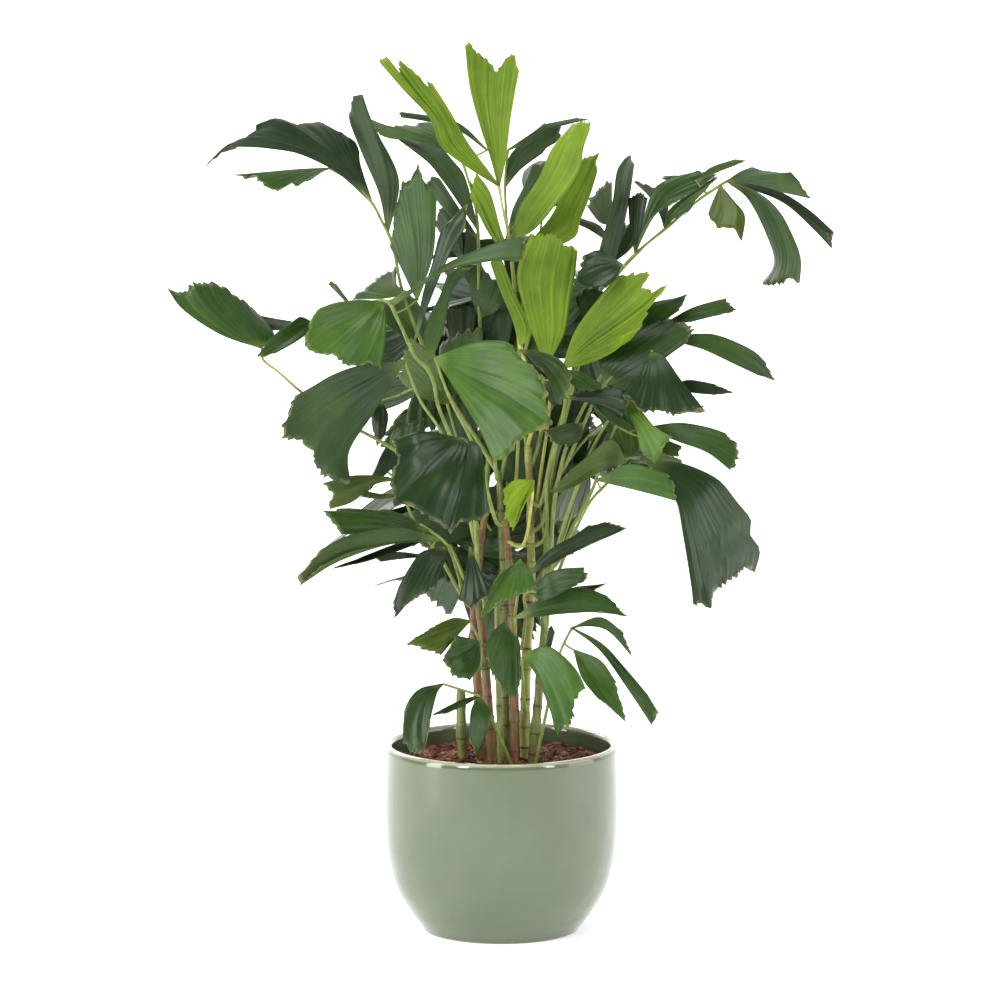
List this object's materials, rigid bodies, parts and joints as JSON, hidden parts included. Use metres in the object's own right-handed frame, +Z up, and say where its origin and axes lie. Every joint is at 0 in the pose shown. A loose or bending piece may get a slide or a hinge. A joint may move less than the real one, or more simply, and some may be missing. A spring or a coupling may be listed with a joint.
{
  "type": "potted plant",
  "caption": "Fishtail palm clump: several slim canes carrying fan-shaped leaflets with ragged ends, planted in a round tapered glazed pot topped with bark",
  "frame": {"origin": "centre of the pot's underside, on the surface it stands on", "axes": "+Z up along the pot's axis; -Y is the side the plant faces; +X to the right when seen from -Y"},
  "size_m": [0.8422, 0.6421, 1.1365],
  "materials": {
    "glaze": "glossy celadon glaze",
    "soil": "damp peat and fibre potting mix",
    "bark": "rough bark chips",
    "cane": "satin, ringed, green to brown",
    "leaf_young": "satin leaf",
    "leaf_green": "semi-gloss leaf",
    "leaf_dark": "glossy leaf",
    "leaf_blue": "semi-gloss leaf, pale underside",
    "leaf_olive": "satin leaf"
  },
  "bodies": {
    "root": {"pot": "glaze", "potting_soil": "soil", "bark_mulch": "bark", "cane_1": "cane", "cane_2": "cane", "cane_3": "cane", "cane_4": "cane", "cane_5": "cane", "cane_6": "cane", "cane_7": "cane", "cane_8": "cane", "frond_01": "leaf_young", "frond_02": "leaf_young", "frond_03": "leaf_dark", "frond_04": "leaf_dark", "frond_05": "leaf_blue", "frond_06": "leaf_dark", "frond_07": "leaf_green", "frond_08": "leaf_green", "frond_09": "leaf_dark", "frond_10": "leaf_olive", "frond_11": "leaf_dark", "frond_12": "leaf_green", "frond_13": "leaf_dark", "frond_14": "leaf_dark", "frond_15": "leaf_green", "frond_16": "leaf_blue", "frond_17": "leaf_dark", "frond_18": "leaf_green", "frond_19": "leaf_dark", "frond_20": "leaf_blue", "frond_21": "leaf_dark", "frond_22": "leaf_young", "frond_23": "leaf_dark", "frond_24": "leaf_dark", "frond_25": "leaf_dark", "frond_26": "leaf_green", "frond_27": "leaf_green", "frond_28": "leaf_dark", "frond_29": "leaf_green", "frond_30": "leaf_green", "frond_31": "leaf_green", "frond_32": "leaf_green", "frond_33": "leaf_green", "frond_34": "leaf_blue", "frond_35": "leaf_dark", "frond_36": "leaf_dark", "frond_37": "leaf_dark", "frond_38": "leaf_dark", "frond_39": "leaf_dark", "frond_40": "leaf_dark", "frond_41": "leaf_dark", "frond_42": "leaf_green", "frond_43": "leaf_dark", "frond_44": "leaf_dark", "frond_45": "leaf_dark", "frond_46": "leaf_dark", "frond_47": "leaf_dark", "frond_48": "leaf_dark", "frond_49": "leaf_dark"}
  },
  "joints": []
}
